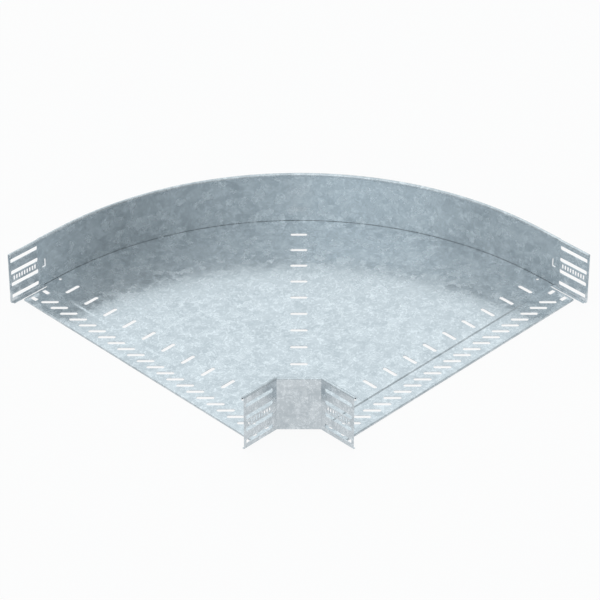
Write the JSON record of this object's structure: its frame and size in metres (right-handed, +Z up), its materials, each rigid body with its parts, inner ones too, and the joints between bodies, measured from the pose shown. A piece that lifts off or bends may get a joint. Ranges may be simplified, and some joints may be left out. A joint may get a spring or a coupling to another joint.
{
  "type": "cable tray bend",
  "caption": "Flat right-angle bend for a perforated cable tray, with a rolled outer wall, a folded inner corner, a slotted floor and connecting tongues at both open ends.",
  "frame": {"origin": "centre of the outer wall's arc, on the upper face of the flat floor", "axes": "+Z up out of the tray; the left arm opens toward -X and the right arm toward -Y; the bend is symmetric about the plane x = y"},
  "size_m": [0.7252, 0.7252, 0.1097],
  "materials": {
    "galvanised_sheet": "hot-dip galvanised steel sheet, matt with a mottled zinc pattern"
  },
  "bodies": {
    "root": {"base_plate": "galvanised_sheet", "outer_side_rail": "galvanised_sheet", "inner_corner_rail": "galvanised_sheet"}
  },
  "joints": []
}
